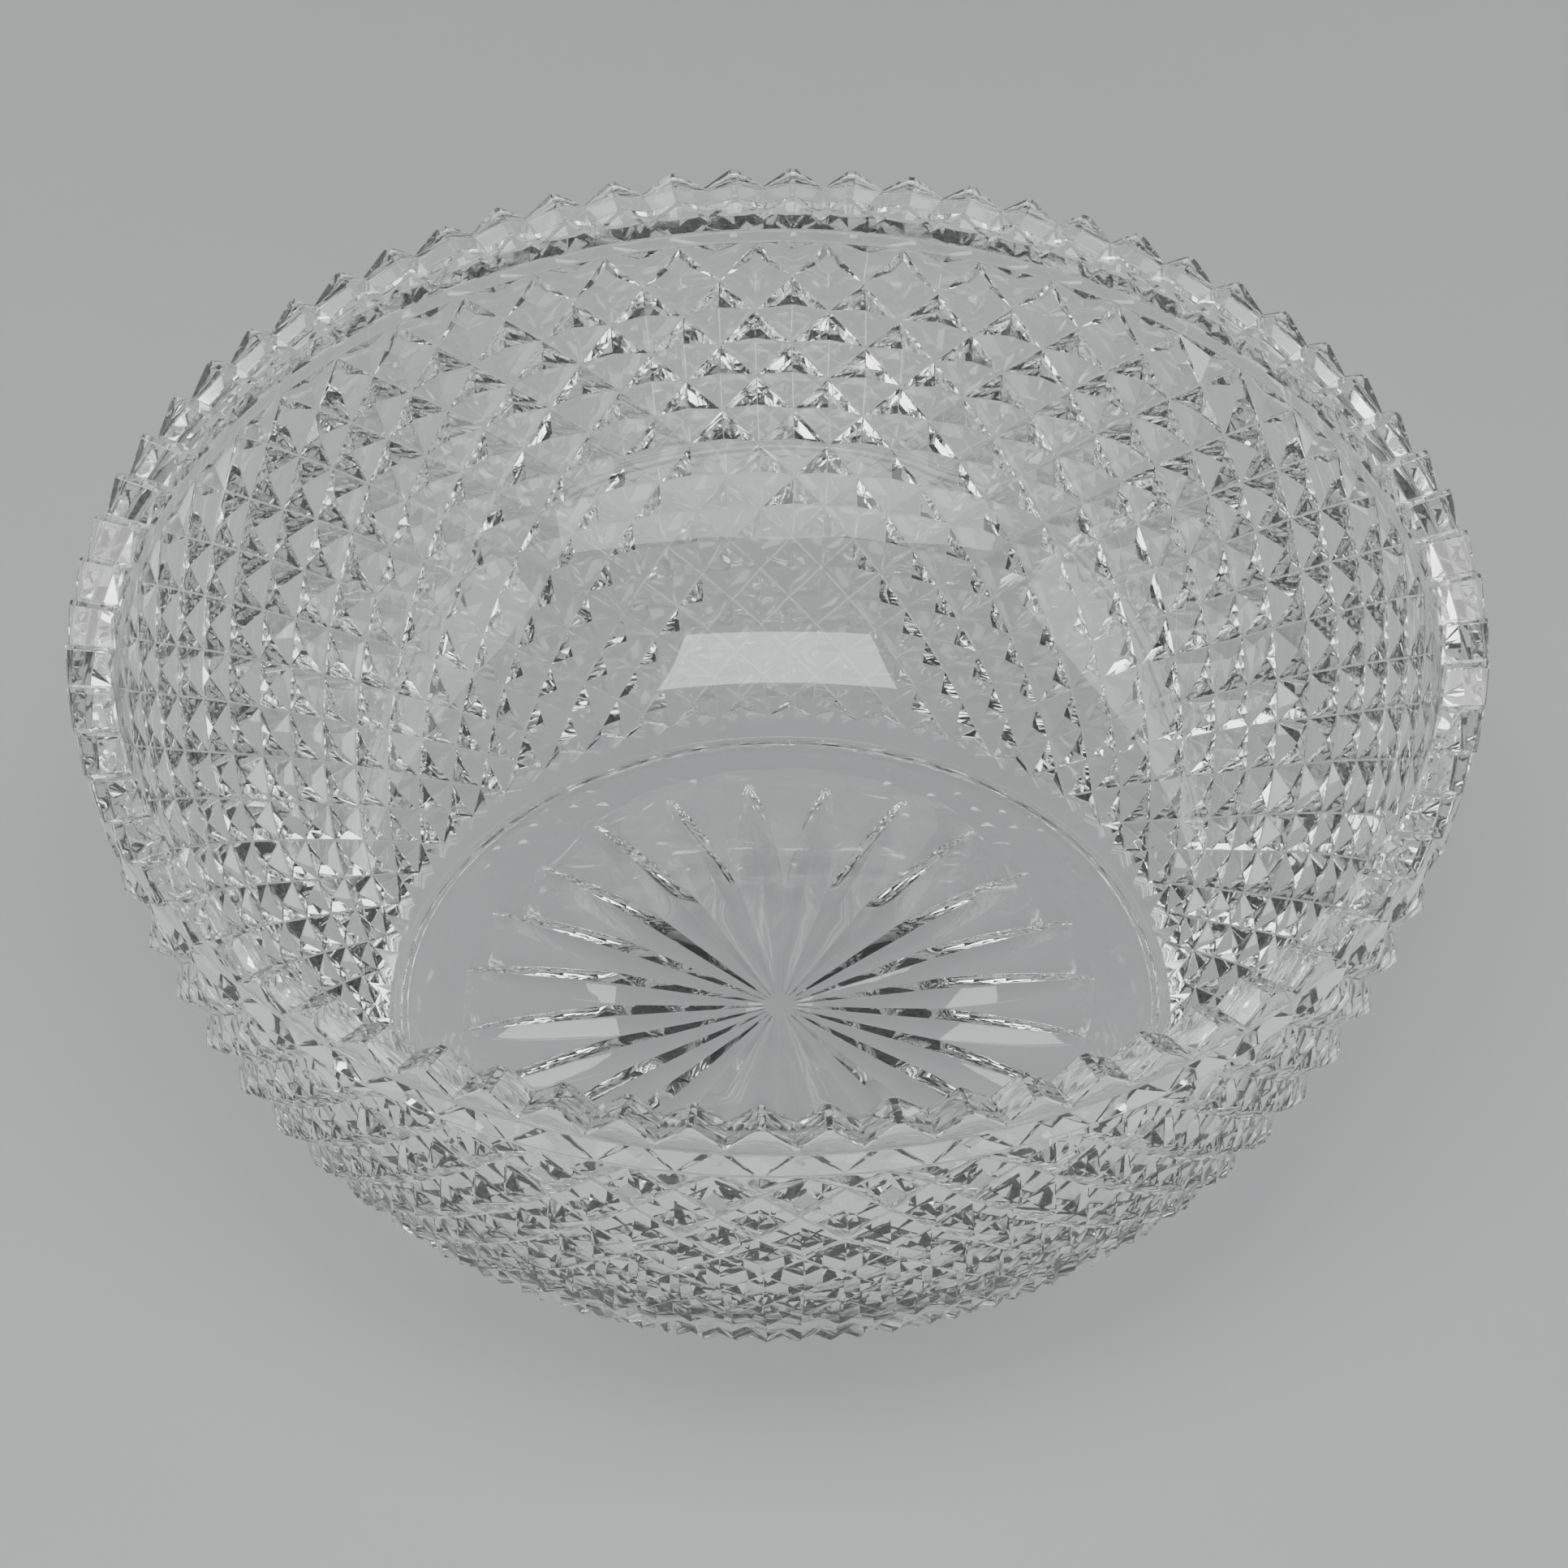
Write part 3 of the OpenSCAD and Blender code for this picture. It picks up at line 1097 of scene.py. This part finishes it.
@dataclass(frozen=True)
class Lamp:
    """One soft rectangular light: its place and size in metres and its power in watts."""

    name: str
    place: Place
    size: tuple[float, float]
    power: float

    def hang(self, aim: Place) -> None:
        """Hangs the light so that it faces the aim."""
        lamp = bpy.data.lights.new(self.name, "AREA")
        lamp.shape = "RECTANGLE"
        lamp.size, lamp.size_y = self.size
        lamp.energy = self.power
        holder = bpy.data.objects.new(self.name, lamp)
        holder.location = self.place
        towards = Vector(aim) - Vector(self.place)
        holder.rotation_euler = towards.to_track_quat("-Z", "Y").to_euler()
        bpy.context.scene.collection.objects.link(holder)


@dataclass
class Studio:
    """A pale floor, large soft lights in a dim room, and the camera."""

    floor_half: float = 12.0
    floor_gap: float = 0.0001
    board: PaleBoard = field(default_factory=PaleBoard)
    lamps: tuple[Lamp, ...] = (
        Lamp("overhead", (0.0, -0.55, 1.6), (0.9, 0.7), 16.0),
        Lamp("front", (0.0, -1.7, 0.55), (3.0, 0.9), 30.0),
        Lamp("left", (-1.6, 0.0, 0.6), (2.2, 0.9), 20.0),
        Lamp("right", (1.6, 0.0, 0.6), (2.2, 0.9), 16.0),
    )
    lamp_aim: Place = (0.0, 0.0, 0.06)
    room_colour: Colour = (0.38, 0.384, 0.388, 1.0)
    room_strength: float = 1.0
    lens: float = 144.64
    sensor: float = 36.0
    eye: Place = (0.001185, -0.98231, 1.02692)
    pitch: float = 45.99
    roll: float = -0.301
    farthest: float = 50.0

    def floor(self) -> bpy.types.Object:
        """Lays the floor just under the bowl.

        Returns:
            The floor.
        """
        h, z = self.floor_half, -self.floor_gap
        mesh = bpy.data.meshes.new("floor")
        corners = [(-h, -h, z), (h, -h, z), (h, h, z), (-h, h, z)]
        mesh.from_pydata(corners, [], [[0, 1, 2, 3]])
        mesh.materials.append(self.board.material())
        floor = bpy.data.objects.new("floor", mesh)
        bpy.context.scene.collection.objects.link(floor)
        return floor

    def lights(self) -> None:
        """Lights the set from the front, from both sides and a little from above."""
        for lamp in self.lamps:
            lamp.hang(self.lamp_aim)
        world = bpy.data.worlds.new("room")
        world.use_nodes = True
        room = world.node_tree.nodes["Background"]
        room.inputs["Color"].default_value = self.room_colour
        room.inputs["Strength"].default_value = self.room_strength
        bpy.context.scene.world = world

    def camera(self) -> None:
        """Places the camera above the front, turned down to the bowl."""
        lens = bpy.data.cameras.new("camera")
        lens.lens = self.lens
        lens.sensor_width = self.sensor
        lens.clip_end = self.farthest
        holder = bpy.data.objects.new("camera", lens)
        turn = Euler((math.radians(self.pitch), 0.0, 0.0)).to_quaternion()
        roll = Euler((0.0, 0.0, math.radians(self.roll))).to_quaternion()
        holder.rotation_euler = (turn @ roll).to_euler()
        holder.location = self.eye
        bpy.context.scene.collection.objects.link(holder)
        bpy.context.scene.camera = holder


def main() -> None:
    """Builds the bowl and the studio, and reports each piece."""
    logging.basicConfig(level=logging.INFO, format="%(name)s: %(message)s")
    piece = PunchBowl().build()
    mesh = piece.data
    log.info("%s: %d corners, %d faces", piece.name, len(mesh.vertices), len(mesh.polygons))
    studio = Studio()
    floor = studio.floor()
    studio.lights()
    studio.camera()
    log.info("%s laid, lights and camera set", floor.name)


if __name__ == "__main__":
    main()
